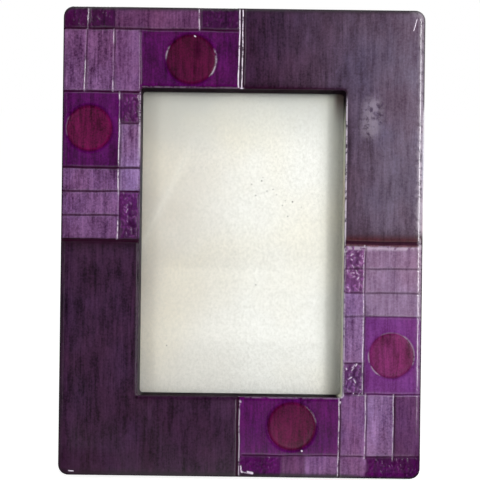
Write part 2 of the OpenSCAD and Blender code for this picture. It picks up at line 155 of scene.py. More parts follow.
def mesh_piece(name, points, faces, matrix=STAND):
    """A smooth mesh from points in millimetres, placed by a matrix."""
    mesh = bpy.data.meshes.new(name)
    mesh.from_pydata([tuple(MM * float(c) for c in p) for p in points], [], faces, shade_flat=False)
    mesh.validate()
    piece = placed(name, mesh)
    piece.matrix_world = matrix
    return piece


def carry(piece, name, values, kind="FLOAT"):
    """Gives each point of a piece's mesh a value, colour or vector for its material."""
    field = {"FLOAT": "value", "FLOAT_COLOR": "color", "FLOAT_VECTOR": "vector"}[kind]
    layer = piece.data.attributes.new(name, kind, "POINT")
    layer.data.foreach_set(field, np.array(values, dtype=np.float32).ravel())


def at_depth(loop, y, up=0):
    """A loop of (x, z) points as (x, y, z) points."""
    return np.c_[loop[:, 0], np.full(len(loop), y), loop[:, 1] + up]


def bridges(loops):
    """Quads between each two following loops of point numbers."""
    quads = []
    for first, second in zip(loops, loops[1:]):
        after_first, after_second = first[1:] + first[:1], second[1:] + second[:1]
        quads += zip(first, after_first, after_second, second)
    return quads


def tube(loops, count):
    """Faces of a tube made of loops of count points, with a face over each end."""
    numbers = [list(range(k * count, (k + 1) * count)) for k in range(loops)]
    return bridges(numbers) + [tuple(reversed(numbers[0])), tuple(numbers[-1])]


def local_points(node, matrix=STAND):
    """A CAD node's points in millimetres of an upright frame."""
    return np.array([tuple(matrix.inverted() @ v.co / MM) for v in nodes[node].data.vertices])


def stand_in(piece, node, material):
    """Puts a finished piece in a CAD node's place."""
    piece.data.materials.append(material)
    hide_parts(node)


# ---- material graphs


class Graph:
    """A material's or the world's node tree, with short calls for the nodes shared here."""

    def __init__(self, name, store=bpy.data.materials):
        self.owner = store.new(name)
        self.owner.use_nodes = True
        self.tree = self.owner.node_tree
        self.tree.nodes.clear()

    def node(self, kind, inputs=None, **settings):
        made = self.tree.nodes.new("ShaderNode" + kind)
        for key, value in settings.items():
            setattr(made, key, value)
        for key, value in (inputs or {}).items():
            if isinstance(value, bpy.types.NodeSocket):
                self.tree.links.new(value, made.inputs[key])
            else:
                made.inputs[key].default_value = value
        return made

    def place(self, scale=(1, 1, 1)):
        """Coordinates of the piece itself, in metres times scale."""
        here = self.node("TexCoord").outputs["Object"]
        return self.node("Mapping", {"Vector": here, "Scale": scale}).outputs["Vector"]

    def split(self, vector):
        return self.node("SeparateXYZ", {0: vector}).outputs

    def noise(self, per_mm, stretch=(1, 1, 1), detail=3.0, rough=0.5):
        """Noise with this many waves to the millimetre, times stretch along each axis."""
        scale = tuple(per_mm / MM * s for s in stretch)
        inputs = {"Vector": self.place(scale), "Scale": 1.0, "Detail": detail, "Roughness": rough}
        return self.node("TexNoise", inputs).outputs["Fac"]

    def math(self, operation, *values, clamp=False):
        inputs = dict(enumerate(values))
        return self.node("Math", inputs, operation=operation, use_clamp=clamp).outputs[0]

    def plus(self, a, b, clamp=False):
        return self.math("ADD", a, b, clamp=clamp)

    def times(self, a, b, clamp=False):
        return self.math("MULTIPLY", a, b, clamp=clamp)

    def total(self, *parts):
        """Sum of values, each times its weight."""
        value = 0.0
        for part, weight in parts:
            value = self.math("MULTIPLY_ADD", part, weight, value)
        return value

    def spread(self, value, low, high, to_low=0.0, to_high=1.0):
        """value's range from low to high stretched to another one, and held inside it."""
        inputs = {"Value": value, 1: low, 2: high, 3: to_low, 4: to_high}
        return self.node("MapRange", inputs).outputs[0]

    def mix(self, a, b, part, blend="MIX"):
        inputs = {0: part, 6: a, 7: b}
        return self.node("Mix", inputs, data_type="RGBA", blend_type=blend).outputs[2]

    def layers(self, tint, *more):
        """Screen colours laid one after another over a tint, each by its part."""
        for rgb, part in more:
            tint = self.mix(tint, colour(*rgb), part)
        return tint

    def between(self, low, high, part):
        return self.layers(colour(*low), (high, part))

    def mirrored(self, path):
        return self.plus(path["Is Glossy Ray"], path["Is Transmission Ray"], clamp=True)

    def attribute(self, name, output="Fac"):
        return self.node("Attribute", attribute_name=name).outputs[output]

    def bump(self, height, distance_mm, strength=1.0, normal=None):
        inputs = {"Height": height, "Distance": distance_mm * MM, "Strength": strength}
        if normal is not None:
            inputs["Normal"] = normal
        return self.node("Bump", inputs).outputs["Normal"]

    def principled(self, tint, roughness, normal, more=None):
        inputs = {"Base Color": tint, "Roughness": roughness, "Normal": normal, **(more or {})}
        return self.finish(self.node("BsdfPrincipled", inputs).outputs["BSDF"])

    def finish(self, shader):
        self.node("OutputMaterial", {"Surface": shader})
        return self.owner


def glaze_material():
    """Paint brushed on upright in two tones that the mesh carries, under gloss; darker where it pools
    and where painted shade lies, pale where it is worn and where highlights are painted.

    The mesh also says where the gloss lies: full on the face, little on the sides and window walls."""
    g = Graph("brushed_glaze")
    hair = g.noise(0.85, (1, 1, 0.07), 5, 0.68)
    dab = g.noise(0.3, (1, 1, 0.22), 4, 0.6)
    blotch = g.noise(0.075, (1, 1, 0.8), 5, 0.62)
    grain = g.noise(1.1, rough=0.65)
    streak = g.total((hair, 0.34), (dab, 0.26), (blotch, 0.26), (grain, 0.28))
    low, high = g.attribute("paint_low", "Color"), g.attribute("paint_high", "Color")
    paint = g.mix(low, high, g.spread(streak, 0.46, 0.7))
    warm = g.spread(g.noise(0.045, (1, 1, 0.7), 4, 0.6), 0.42, 0.62, 0, 0.45)
    paint = g.mix(paint, (1.0, 0.74, 0.72, 1), warm, "MULTIPLY")
    cool = g.spread(g.noise(0.04, (1, 1, 0.55), 5, 0.62), 0.48, 0.66, 0, 0.5)
    paint = g.mix(paint, (0.86, 0.98, 1.16, 1), cool, "MULTIPLY")
    pool_and_shade = g.times(g.attribute("pool_and_shade"), 0.85, clamp=True)
    broken = g.spread(g.noise(0.42, rough=0.6), 0.36, 0.52, 0, 0.8)
    wear_and_highlight = g.times(g.attribute("wear_and_highlight"), broken, clamp=True)
    # pooled paint and painted shade darken it; real wear and painted highlights make it pale
    paint = g.layers(paint, ((38, 5, 27), pool_and_shade), ((214, 200, 218), wear_and_highlight))
    rough = g.spread(g.plus(hair, blotch), 0.7, 1.3, 0.34, 0.52)
    gloss = g.attribute("gloss")
    return g.principled(paint, rough, g.bump(dab, 0.12, 0.35, g.bump(hair, 0.07, 0.5)), {
        "Specular IOR Level": g.times(gloss, 0.14),
        "Coat Weight": g.times(gloss, 0.5),
        "Coat Roughness": 0.16,
    })


# ---- the relief's layout

# Brush colours of the painted areas: the darker and the lighter of two tones
PAINTS = {
    "dark": ((16, 0, 15), (71, 39, 72)),
    # the dark fields' paler, bluer tone to the upper right, a painted glare
    "glare_slate": ((65, 48, 68), (108, 96, 117)),
    "mauve": ((55, 17, 58), (142, 99, 150)),
    "lilac": ((74, 38, 80), (154, 119, 166)),
    "pale_lilac": ((98, 70, 100), (151, 125, 158)),
    "lavender": ((72, 32, 76), (136, 95, 144)),
    "rose": ((60, 16, 60), (112, 66, 112)),
    "dusk": ((58, 18, 58), (121, 77, 121)),
    "violet": ((42, 0, 42), (96, 12, 100)),
    "orchid": ((80, 20, 84), (122, 58, 136)),
    "pebble": ((36, 0, 37), (86, 13, 88)),
    "grape": ((44, 0, 46), (98, 12, 102)),
    "plum": ((46, 0, 47), (108, 30, 111)),
    "heather": ((76, 24, 80), (132, 78, 138)),
    "thistle": ((54, 6, 60), (112, 54, 122)),
    "maroon": ((38, 0, 20), (114, 10, 76)),
    "claret": ((34, 0, 17), (103, 8, 68)),
    "wine": ((26, 0, 12), (92, 5, 60)),
    "rust": ((56, 20, 36), (122, 74, 92)),
    "berry": ((66, 12, 45), (125, 39, 102)),
    # a dark red-brown band above the rust strip; the dark outline round the face's rim, which is painted
    # shade, and the painted highlight along its upper right edge
    "tinge": ((44, 4, 14), (84, 30, 40)),
    "outline": ((14, 3, 14), (40, 20, 40)),
    "pale_edge_highlight": ((186, 180, 192), (240, 236, 244)),
    # sides, back and window walls; the left and right walls are lighter with a painted reflection of the
    # paper
    "side": ((30, 8, 32), (84, 48, 88)),
    "back": ((52, 30, 48), (76, 50, 70)),
    "wall": ((22, 10, 20), (38, 24, 34)),
    "left_wall_reflection": ((56, 52, 56), (94, 90, 95)),
    "right_wall_reflection": ((196, 198, 176), (236, 238, 220)),
}

# Pebbled paints: how high the marks stand, how far they differ in paint, and how strong the painted
# highlight on their crests is
PEBBLED = {
    "pebble": (0.35, 0.6, 0),
    "grape": (0.35, 0.6, 0),
    "plum": (0.6, 0.55, 0.05),
    "heather": (1.4, 0.7, 0.75),
    "thistle": (1.5, 0.6, 1.2),
}

# From the window to the outer edge on each side, and where the strips along the top and bottom begin
LEFT, RIGHT = (-HALF_W, -WINDOW_W), (WINDOW_W, HALF_W)
BOTTOM, TOP = (-HALF_H, -WINDOW_H), (WINDOW_H, HALF_H)
BAND = 99.1

# Straight grooves along an axis. dark says how dark the paint pools in them, paleness how strong the
# painted highlight is along the edge on their left or lower side, or, below 0, along that on the other
# side, and drift how far they slant
Groove = namedtuple("Groove", "axis across start end width depth dark wear drift", defaults=(0, 0))
GROOVES = [Groove(*row) for row in (
    # upper left part
    ("z", -1.75, *TOP, 0.6, 0.5, 0.7, 2.2, 0.3),
    ("z", -0.2, *TOP, 0.7, 0.5, 0.9, 1.6, 0.3),
    ("x", 0.3, *LEFT, 1.5, 0.6, 1),
    ("x", BAND, -HALF_W, -1.5, 1, 0.4, 0.9, 0, -0.3),
    ("x", 69.8, *LEFT, 1, 0.4, 0.95),
    ("x", 34.2, *LEFT, 1.1, 0.4, 1),
    ("x", 23.2, *LEFT, 0.9, 0.35, 0.95),
    ("x", 12, -HALF_W, -57.4, 0.85, 0.35, 0.9),
    ("x", 54.9, -57.4, -WINDOW_W, 0.8, 0.4, 0.6),
    ("z", -72.6, BAND, HALF_H, 0.6, 0.4, 0.3, 0.7, 0.2),
    ("z", -73.6, 69.8, BAND, 0.6, 0.35, 0.5, 0.3, 0.8),
    ("z", -60.3, BAND, HALF_H, 0.3, 0.1, 0.1),
    ("z", -60.5, 69.8, BAND, 0.6, 0.4, 0.25, 0.35, 0.2),
    ("z", -48.4, 69.8, BAND, 0.5, 0.2, 0.3),
    ("z", -20.6, BAND, HALF_H, 0.65, 0.5, 0.5, 0.9),
    ("z", -57.4, 0.5, 69.8, 0.7, 0.5, 0.35, 0.65, 0.2),
    # lower right part
    ("z", -0.9, *BOTTOM, 1.3, 0.6, 0.9, -1.1, 0.2),
    ("x", 0.55, *RIGHT, 1.7, 0.6, 1, 0, -0.3),
    ("x", -BAND, 1.5, HALF_W, 0.7, 0.4, 0.7, 0, 0.2),
    ("x", -70, *RIGHT, 0.8, 0.4, 0.7, 0.2),
    ("x", -33.8, *RIGHT, 0.85, 0.35, 0.55),
    ("x", -22.8, *RIGHT, 0.85, 0.35, 0.65),
    ("x", -11.5, *RIGHT, 0.85, 0.35, 0.6),
    ("x", -55.6, WINDOW_W, 57.8, 0.8, 0.4, 0.5),
    ("z", 57.8, -70, -0.5, 0.75, 0.5, 0.55, 0.6, 0.2),
    ("z", 46.9, -HALF_H, -70, 0.75, 0.5, 0.8, 0.8, 0.3),
    ("z", 59.2, -100, -70, 0.75, 0.5, 0.6, 0.55, 0.2),
    ("z", 72.2, -101, -70, 0.75, 0.5, 0.8, 0.5, 0.3),
    ("z", 20.2, -HALF_H, -BAND, 0.4, 0.12, 0.2),
    ("z", 30.6, -HALF_H, -BAND, 0.3, 0.1, 0.1),
)]

# Discs as (x, z, radius, paint, how dark the ring round it is, arcs of the ring that shine and carry a
# painted highlight), an arc as (start, end, how much), in degrees counter-clockwise from the right
DISCS = [
    (-24.7, 85.2, 11.6, "wine", 0.5, ((150, 180, 0.55), (-42, 24, 0.85))),
    (-71.8, 52.5, 10.7, "maroon", 0.4, ((150, 200, 0.15),)),
    (70.5, -51.9, 10.6, "berry", 0.35, ((172, 240, 0.4), (-24, 62, 0.4), (60, 120, 0.15))),
    (24.4, -85.4, 11.3, "claret", 0.2, ((5, 62, 0.25),)),
]

# Where the shine and the painted highlight beside the grooves are dulled, as (left, right, low, high)
DULLED = [
    (-76.5, -71, 84.5, 98.6),
    (-62.5, -59, 75, 92.5),
    (-74, -71.5, BAND, 101.5),
    (-59, -56, 10, 22),
    (-59, -56, 57, 66),
    (1, 19, -109, -100.5),
    (60.5, 84, -109, -100.5),
]

# Painted areas; later ones lie on earlier ones
Area = namedtuple("Area", "left right low high paint")
AREAS = [Area(*row) for row in (
    (-85, -1.75, 1.2, 110, "mauve"),
    (-57.6, -48, 23.4, 54.9, "lilac"),
    (-60.3, -48.5, 69.8, BAND, "lavender"),
    (-60.3, -20.6, BAND, 110, "dusk"),
    (-85, -60.3, BAND, 110, "pebble"),
    (-20.6, -1.75, BAND, 110, "pebble"),
    (-48.5, -1.75, 70, BAND, "violet"),
    (-85, -57.6, 34, 70.2, "violet"),
    (-57.6, -48, 54.9, 70.2, "plum"),
    (-57.6, -48, 1.2, 23.4, "plum"),
    (-0.3, 85, -110, -0.4, "lilac"),
    (57.8, 85, -33.7, -0.4, "pale_lilac"),
    (48, 57.8, -23, -0.4, "heather"),
    (47.5, 85, -1, 0.5, "rust"),
    (48, 57.8, -71, -55.4, "thistle"),
    (57.8, 85, -70.8, -33.7, "orchid"),
    (30.6, 59.2, -110, -70.8, "lavender"),
    (-0.3, 46.7, -BAND, -70.6, "violet"),
    (72.2, 85, -BAND, -70.8, "rose"),
    (-0.3, 20.2, -110, -BAND, "grape"),
    (20.2, 30.6, -110, -BAND, "rose"),
    (59.2, 85, -110, -BAND, "grape"),
)]
PEBBLED_AREAS = [area for area in AREAS if area.paint in PEBBLED]

# Pale marks, as (x, z) of both ends and half a width: first a scratch and a chip where the paint is off,
# then painted glints by the window's right edge and lower right corner, on the middle border, on two
# rings and at the lower left corner
NICKS_AND_GLINTS = [
    ((79, 99.8), (80.5, 105.3), 0.15),
    ((0.7, -104.2), (1.4, -107), 0.4),
    ((1.4, -106.6), (6.2, -107.5), 0.6),
    ((29.2, -96.8), (29.3, -96.9), 0.38),
    ((48.1, -1.6), (48.4, -3.3), 0.75),
    ((47.2, -70.9), (47.4, -71.5), 0.45),
    ((47, -73.9), (47, -74.4), 0.35),
    ((0.3, -73.6), (0.4, -74.4), 0.35),
    ((-23.2, 96.1), (-22.8, 95.8), 0.3),
    ((-80.2, -107.3), (-77.2, -107.6), 0.22),
]

# Pale stretches, as (x, z) of both ends, half a width and how pale: a painted highlight along the top of
# the lower right part, and a paler patch in the upper right
PALE_STRETCHES = [
    ((49.5, -1.9), (84, -2.1), 1.3, 0.55),
    ((59.5, 54), (60.5, 64), 7, 0.25),
]

# Darker patches, as (x, z, half width, half height, how dark): smears in three of the discs, and patches
# along the middle border, by the corners and at the bottom
DARK_PATCHES = [
    (-21.8, 90, 2, 6.8, 0.6),
    (-23.6, 81, 1.6, 4, 0.3),
    (68.6, -45.5, 1.6, 3.4, 0.35),
    (-70, 5, 26, 9, 0.22),
    (-66, 0.2, 30, 2.4, 0.7),
    (-82, 102, 5, 6, 0.4),
    (-42, -94, 62, 28, 0.2),
    (-72, -104, 24, 12, 0.45),
    (79, -94, 15, 17, 0.32),
]

# Raised marks on the pebbled areas
MARK_LENGTH, MARK_WIDTH, MARK_HEIGHT = (0.4, 1.9), (0.45, 0.75), (0.35, 0.7)
MARKS_PER_MM2 = 0.22
MARK_MARGIN, MARK_TILT = 0.9, 0.7

# Where the painted highlight on a mark lies, from its middle, towards the light
CREST_SHIFT = np.array([0.16, 0.12])


def marks():
    """Random short strokes and dots on each pebbled area: both ends, width and height of each."""
    random = np.random.default_rng(7)
    made = []
    for left, right, low, high, paint in PEBBLED_AREAS:
        for _ in range(int((right - left) * (high - low) * MARKS_PER_MM2)):
            x = random.uniform(left + MARK_MARGIN, right - MARK_MARGIN)
            z = random.uniform(low + MARK_MARGIN, high - MARK_MARGIN)
            tilt = math.pi / 2 + random.normal(0, MARK_TILT)
            half = random.uniform(*MARK_LENGTH) / 2 * np.array([math.cos(tilt), math.sin(tilt)])
            top = PEBBLED[paint][0] * random.uniform(*MARK_HEIGHT)
            made.append(((x, z) - half, (x, z) + half, random.uniform(*MARK_WIDTH), top))
    return made


MARKS = marks()


# ---- the face's mesh points


def centre_line(groove, along):
    """Where a groove's middle lies across, at places along it: ruled by hand, so it wavers."""
    drifted = (along - (groove.start + groove.end) / 2) / (groove.end - groove.start)
    waver = 0.1 * np.sin(along / 6.1 + groove.across) + 0.05 * np.sin(along / 2.3 + 2 * groove.across)
    return groove.across + groove.drift * drifted + waver


def from_groove(groove, points):
    """How far points lie to the right of or above a groove's middle line, and their distance from it."""
    flat = "xz".index(groove.axis)
    along, across = points[:, flat], points[:, 1 - flat]
    held = np.clip(along, groove.start, groove.end)
    side = across - centre_line(groove, held)
    return side, np.hypot(along - held, side)


def groove_rows(groove):
    """Points along a groove, in rows where its section bends."""
    along = np.arange(groove.start, groove.end + 0.35, 0.7)
    rows = []
    for step in (0, 0.14, 0.28, 0.42, 0.56, 0.72, 0.9, 1.1, 1.45):
        for sign in (-1, 1) if step else (1,):
            across = centre_line(groove, along) + sign * step
            rows.append(np.c_[along, across] if groove.axis == "x" else np.c_[across, along])
    return np.vstack(rows)


def disc_rows(disc):
    """Points round a disc, in rows where its edge bends."""
    x, z, radius = disc[:3]
    turn = np.linspace(0, 2 * np.pi, int(2 * np.pi * radius / 0.6), endpoint=False)
    steps = (-1.6, -0.8, -0.45, -0.25, -0.1, 0.05, 0.2, 0.4, 0.8, 1.6)
    return np.vstack([np.c_[x + (radius + step) * np.cos(turn), z + (radius + step) * np.sin(turn)]
                      for step in steps])


def loop_of(half_w, half_h, radius):
    """Points round a rounded rectangle, counter-clockwise and always as many, so that loops join."""
    corner_steps, side_steps = 8, (100, 130)
    arcs = []
    for k, (sx, sz) in enumerate([(1, 1), (-1, 1), (-1, -1), (1, -1)]):
        middle = np.array([sx * (half_w - radius), sz * (half_h - radius)])
        turn = np.radians(90 * k + np.linspace(0, 90, corner_steps + 1))
        arcs.append(middle + radius * np.c_[np.cos(turn), np.sin(turn)])
    parts = []
    for k, arc in enumerate(arcs):
        part = np.linspace(0, 1, side_steps[k % 2] + 1)[1:-1, None]
        parts += [arc, mixed(arc[-1], arcs[(k + 1) % 4][0], part)]
    return np.vstack(parts)


LOOP = len(loop_of(HALF_W, HALF_H, CORNER_R))


def lattice(step, left, right, low, high):
    """Points in a triangular lattice over a rectangle."""
    rows = []
    for i, z in enumerate(np.arange(low, high, step * 0.866)):
        x = np.arange(left + (i % 2) * step / 2, right, step)
        rows.append(np.c_[x, np.full(len(x), z)])
    return np.vstack(rows)


def added(kept, more, gap):
    """kept with those of more that lie no nearer to them than gap."""
    tree = KDTree(len(kept))
    for i, (x, z) in enumerate(kept):
        tree.insert((x, z, 0), i)
    tree.balance()
    free = [p for p in more if tree.find((p[0], p[1], 0))[2] >= gap]
    return np.vstack([kept, free]) if free else kept


def face_points():
    """The face's mesh points: its two borders first, then rows along every edge, then the fill."""
    kept = np.vstack([loop_of(HALF_W, HALF_H, CORNER_R), loop_of(WINDOW_W, WINDOW_H, WINDOW_R)])

    def inside(points, margin, window_margin):
        return points[(from_border(points) > margin) & (from_window(points) > window_margin)]

    for groove in GROOVES:
        kept = added(kept, inside(groove_rows(groove), 0.12, 0.1), 0.09)
    for disc in DISCS:
        kept = added(kept, disc_rows(disc), 0.12)
    for start, end, width in NICKS_AND_GLINTS:
        low, high = np.minimum(start, end) - 2 * width, np.maximum(start, end) + 2 * width
        kept = added(kept, inside(lattice(0.25, low[0], high[0], low[1], high[1]), 0.3, 0.2), 0.14)
    for turn in np.radians([14, 26, 38, 50, 62, 76, 90]):
        step = EDGE_IN * (1 - math.cos(turn))
        kept = added(kept, loop_of(HALF_W - step, HALF_H - step, max(CORNER_R - step, 0.5)), 0.1)
    for turn in np.radians([20, 40, 58, 75, 90]):
        step = LIP_IN * (1 - math.cos(turn))
        kept = added(kept, loop_of(WINDOW_W + step, WINDOW_H + step, WINDOW_R + step), 0.1)
    for left, right, low, high, _ in PEBBLED_AREAS:
        fine = lattice(0.36, left + 0.5, right - 0.5, low + 0.5, high - 0.5)
        kept = added(kept, inside(fine, 0.4, 0.3), 0.22)
    return added(kept, inside(lattice(1.6, -HALF_W, HALF_W, -HALF_H, HALF_H), 0.5, 0.7), 0.75)


def triangles(points):
    """Corners and triangles of the face without its window, and each point's place among the corners."""
    rim = [(start + i, start + (i + 1) % LOOP) for start in (0, LOOP) for i in range(LOOP)]
    found = delaunay_2d_cdt([Vector(p) for p in points], rim, [], 0, 1e-5)
    corners = np.array([tuple(c) for c in found[0]])
    place = {source: index for index, sources in enumerate(found[3]) for source in sources}
    faces = np.array(found[2])
    return corners, faces[from_window(corners[faces].mean(axis=1)) > 0], place


# ---- the face's height, gloss, wear, painted shade and painted highlights; inner and lip are distances inside its edge and from its window


def bevel(distance, reach, drop):
    """How far an elliptical edge has dropped at a distance inside its border."""
    part = 1 - np.clip(distance / reach, 0, 1)
    return drop * (1 - np.sqrt(1 - part * part))


def shoulder(points, edge, distance):
    """How far a shoulder drops that starts at an edge, at distances from its middle line."""
    drop = SHOULDER_DROP - SHOULDER_FALL * points[:, 0]
    return drop * within(edge, edge + SHOULDER_IN, distance)


def groove_traits(groove, points):
    """What a groove does at points: see carve."""
    width, depth = groove.width, groove.depth
    side, distance = from_groove(groove, points)
    edge, share = 0.3 * width, min(1, depth / FULL_DEPTH)
    crest = np.abs(side * math.copysign(1, groove.wear) + edge + 0.45 * SHOULDER_IN)
    beside = distance < np.abs(side) + 0.02
    trench = 0.64 * depth * within(0.12 * width, 0.6 * width, distance)
    none = np.zeros(len(points))
    return [
        trench + share * shoulder(points, edge, distance),
        0.2 * depth * within(0, 2.6, distance),
        groove.dark * within(0.3 * width, 0.75 * width, distance),
        share * within(edge + 0.6, edge + 1.1, distance),
        none,
        # painted highlight along one edge of the groove
        abs(groove.wear) * within(0.05, 0.36, crest) * beside,
        none,
    ]


def disc_traits(disc, points):
    """What a disc and its ring do at points: see carve."""
    disc_x, disc_z, radius, _, ring, arcs = disc
    x, z = points[:, 0] - disc_x, points[:, 1] - disc_z
    distance = np.hypot(x, z) - radius
    beside = np.abs(distance)
    shine = arc_shine(np.degrees(np.arctan2(z, x)), arcs)
    return [
        0.12 * within(0.05, 0.4, beside) + (0.3 + 0.7 * shine) * shoulder(points, 0.15, beside),
        np.zeros(len(points)),
        ring * (1 - 0.9 * shine) * within(0.25, 0.8, beside),
        0.45 * shine * within(0.6, 1.1, beside),
        0.85 * (1 - 0.3 * shine) * within(0.7, 1.5, beside),
        # painted highlight along the shining arcs
        0.8 * shine * within(0.05, 0.5, np.abs(distance - 0.1)),
        0.16 * within(-2.2, -0.2, distance),
    ]


def arc_shine(angle, arcs):
    """How much a ring shines at angles in degrees."""
    shine = np.zeros(len(angle))
    for start, end, most in arcs:
        reach = np.abs((angle - (start + end) / 2 + 180) % 360 - 180)
        half = (end - start) / 2
        shine = np.maximum(shine, most * within(half - 8, half + 4, reach))
    return shine


def from_stroke(start, end, points):
    """Distance of points from a straight stroke."""
    start, end = np.array(start), np.array(end)
    reach = end - start
    along = np.clip((points - start) @ reach / max(reach @ reach, 1e-9), 0, 1)
    return np.linalg.norm(points - start - along[:, None] * reach, axis=1)


def raised(points):
    """Height of the marks on the pebbled areas."""
    height = np.zeros(len(points))
    for a, b, width, top in MARKS:
        box = (np.abs(points - (a + b) / 2) < 2.2).all(axis=1)
        distance = from_stroke(a, b, points[box])
        height[box] = np.maximum(height[box], top * within(0.1 * width, 1.25 * width, distance))
    return height


def covered(area, points):
    """Which points lie in a painted area."""
    x, z = points.T
    return (x > area.left) & (x < area.right) & (z > area.low) & (z < area.high)


def lip_highlight(x, z, lip):
    """Painted highlight lines along the window's left and right edges."""
    line = smooth(WINDOW_H + 1, WINDOW_H - 1, np.abs(z)) * within(0.08, 0.36, np.abs(lip - LIP_HIGHLIGHT))
    right = (0.8 + 0.8 * smooth(0, 6, z)) * within(65, 69, z)
    return line * np.where(x > 0, right, 0.08 + 0.75 * smooth(30, 55, z))


def crest_highlight(points):
    """Painted highlight on the marks' crests, on the side where the light catches them."""
    wear_and_highlight, crests = np.zeros(len(points)), raised(points - CREST_SHIFT)
    for area in PEBBLED_AREAS:
        here = covered(area, points)
        high, _, wear = PEBBLED[area.paint]
        wear_and_highlight[here] = wear * smooth(0.68, 0.92, crests[here] / (high * MARK_HEIGHT[1]))
    return wear_and_highlight


def right_edge_highlight(x, z, inner):
    """Painted highlight along the face's right edge."""
    rubbed_and_highlight = smooth(0.8, 1.4, inner) * within(1.7, 3.1 + 1.3 * smooth(2, 10, z), inner)
    upper = 0.3 + 0.35 * within(30, 80, z)
    lower = 0.2 + 0.2 * smooth(-36, -24, z) + 0.35 * smooth(-12, -6, z)
    return rubbed_and_highlight * smooth(76, 82, x) * np.where(z > 0, upper, lower * smooth(-72, -58, z))


def gloss_left(x, z, inner, lip):
    """Share of the gloss beside the face's edge and the window: more on the right edge, else less."""
    right_edge = smooth(0.9, 1.4, inner) * within(2.8, 3.4, inner) * smooth(76, 81, x)
    share = 1 + 1.6 * right_edge * smooth(-72, -56, z)
    share *= 1 - 0.6 * within(-82, -78, x)
    share *= 1 - 0.7 * within(3, 4, inner) * smooth(50, 60, x) * within(-96, -84, z)
    share *= 1 - 0.6 * within(0.8, 1.6, lip) * within(30, 50, z) * (x < 0)
    share *= 1 - 0.92 * within(1.2, 2, lip) * (np.abs(z) > WINDOW_H)
    return share * np.maximum(smooth(0.4, 1.5, inner), smooth(80, 83, x) * smooth(0, 25, z))


def carve(points):
    """Height of the face above its plane, where paint pools and where painted shade lies, how thick the
    gloss lies, and where the paint is pale from real wear and from painted highlights.

    Each groove and disc says how it cuts in, sinks, pools, shines, dulls, carries a painted highlight
    and rises; the most of each counts."""
    x, z = points.T
    inner, lip = from_border(points), from_window(points)
    traits = [groove_traits(groove, points) for groove in GROOVES]
    traits += [disc_traits(disc, points) for disc in DISCS]
    cut, sink, pool_and_shade, shine, dull, wear_and_highlight, rise = np.max(traits, axis=0)
    shine = np.maximum(shine, within(0.8, 1.8, lip))
    for left, right, low, high in DULLED:
        dulled = smooth(left - 0.3, left, x) * within(right, right + 0.3, x)
        dulled *= smooth(low - 1, low + 1, z) * within(high - 1, high + 1, z)
        shine *= 1 - 0.8 * dulled
        wear_and_highlight *= 1 - 0.85 * dulled
        dull = np.maximum(dull, 0.6 * dulled)
    # the scratch and the chip make the paint pale, and so do the painted glints
    for start, end, width in NICKS_AND_GLINTS:
        distance = from_stroke(start, end, points)
        wear_and_highlight = np.maximum(wear_and_highlight, 1.7 * within(0.5 * width, 1.3 * width, distance))
        cut = np.maximum(cut, 0.1 * within(0, 1.6 * width, distance))
    # a painted highlight and a paler patch
    for start, end, width, wear in PALE_STRETCHES:
        wear_and_highlight = np.maximum(wear_and_highlight, wear * within(0.2 * width, width, from_stroke(start, end, points)))
    for patch_x, patch_z, half_w, half_h, dark in DARK_PATCHES:
        reach = np.hypot((x - patch_x) / half_w, (z - patch_z) / half_h)
        pool_and_shade = np.maximum(pool_and_shade, dark * within(0.3, 1.1, reach))
    # painted shade along the window's top lip
    pool_and_shade = np.maximum(pool_and_shade, 0.7 * within(0.4, 1.1, lip) * smooth(67, 71, z))
    wear_and_highlight = np.maximum(wear_and_highlight, lip_highlight(x, z, lip)) * smooth(0.6, 2, inner)
    # painted highlights on the marks' crests and along the right edge
    wear_and_highlight = np.max([wear_and_highlight, crest_highlight(points), right_edge_highlight(x, z, inner)], axis=0)

    lumps = raised(points)
    thick = (1 - dull) * (1 + shine + 0.8 * smooth(0.1, 0.5, lumps))
    gloss = gloss_left(x, z, inner, lip) * thick * (1 - 0.85 * np.clip(1.4 * pool_and_shade, 0, 1))
    waves = 0.05 * np.sin(x / 5.3 + z / 17) + 0.05 * np.sin(z / 8.1 - x / 13)
    waves += 0.03 * np.sin(x / 3.1 + z / 4.7)
    fade = smooth(0, 1.6, inner) * smooth(0, 0.8, lip)
    height = rise - bevel(inner, EDGE_IN, EDGE_DROP) - bevel(lip, LIP_IN, LIP_DROP)
    height -= shoulder(points, 0.5 * LIP_IN, lip)
    return height + fade * (lumps + waves - cut - sink), pool_and_shade, gloss, wear_and_highlight


# ---- the face's paint and the whole body


def coat(paint, count):
    """The two tones of a paint, each at count points."""
    return np.array([np.tile(colour(*tone), (count, 1)) for tone in PAINTS[paint]])


def lay(coats, paint, part):
    """Lays a paint's two tones over those that are there, by a part from 0 to 1 at each point."""
    coats[:] = mixed(coats, coat(paint, coats.shape[1]), part[:, None])


